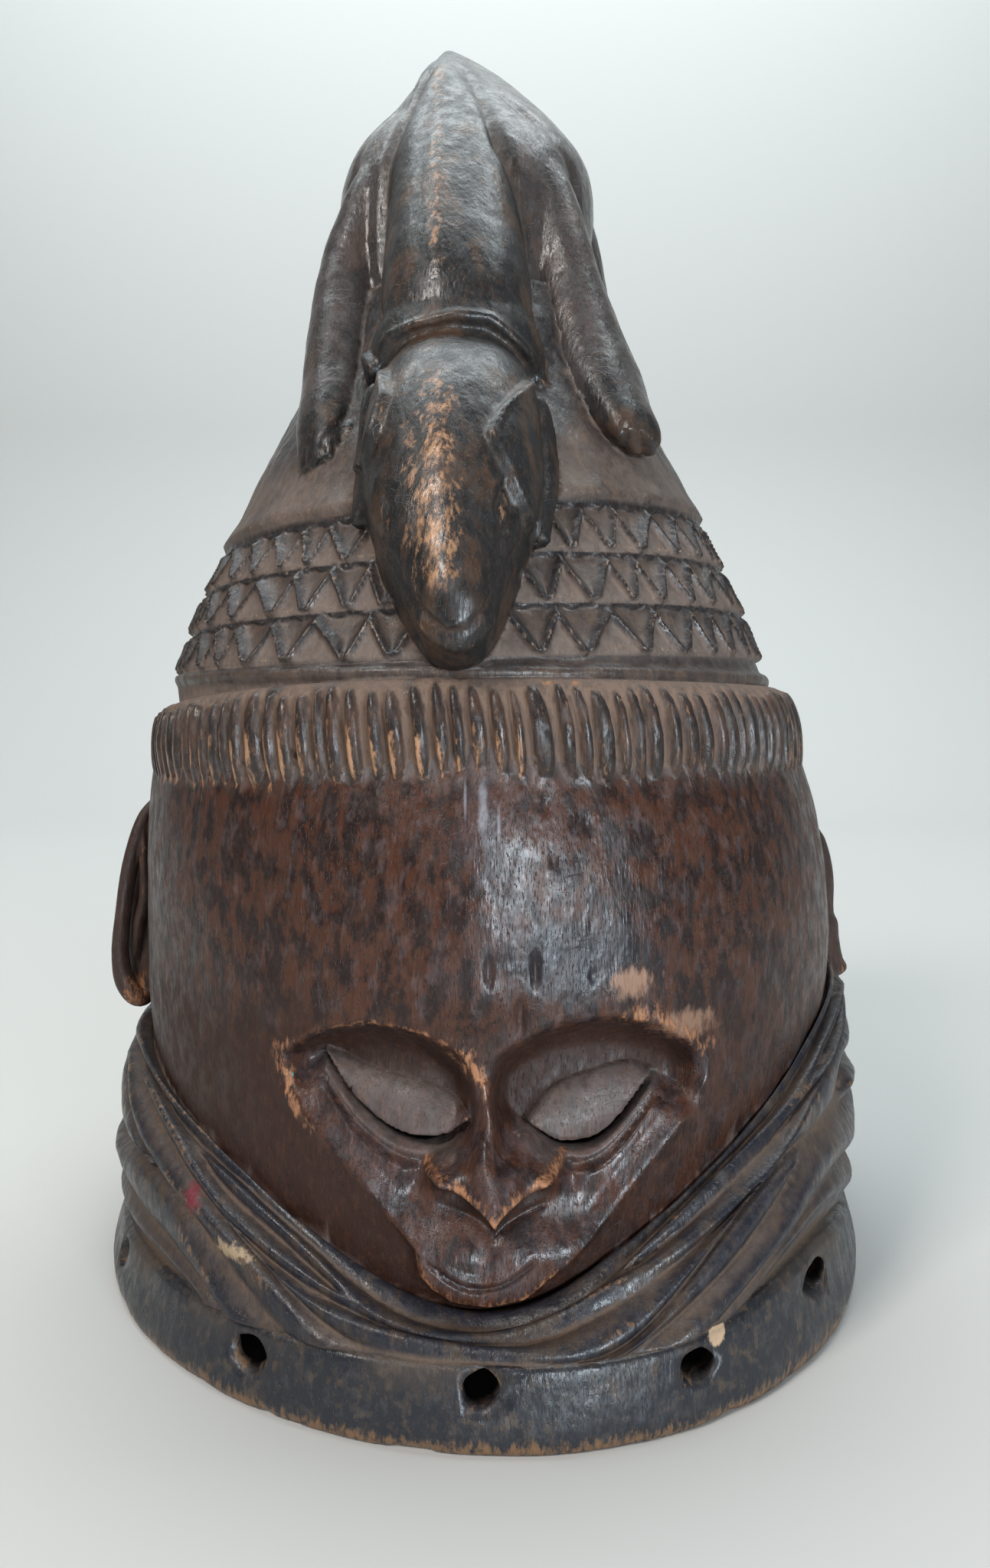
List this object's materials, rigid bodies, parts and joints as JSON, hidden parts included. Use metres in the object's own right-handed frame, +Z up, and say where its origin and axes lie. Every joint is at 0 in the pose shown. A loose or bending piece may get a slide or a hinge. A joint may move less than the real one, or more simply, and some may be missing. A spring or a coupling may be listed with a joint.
{
  "type": "carved wooden helmet mask",
  "caption": "Hollow bell-shaped helmet mask of dark carved wood, with ringed neck, patterned coiffure and a crouching animal crest.",
  "frame": {"origin": "middle of the bounding box at the underside of the rim", "axes": "+Z up, the face looks along -Y, +X to the viewer's right"},
  "size_m": [0.225, 0.276, 0.3675],
  "materials": {
    "patinated_wood": "dark polished patina, worn brown on the edges, dusty in the grooves"
  },
  "bodies": {
    "root": {"helmet_mask": "patinated_wood"}
  },
  "joints": []
}
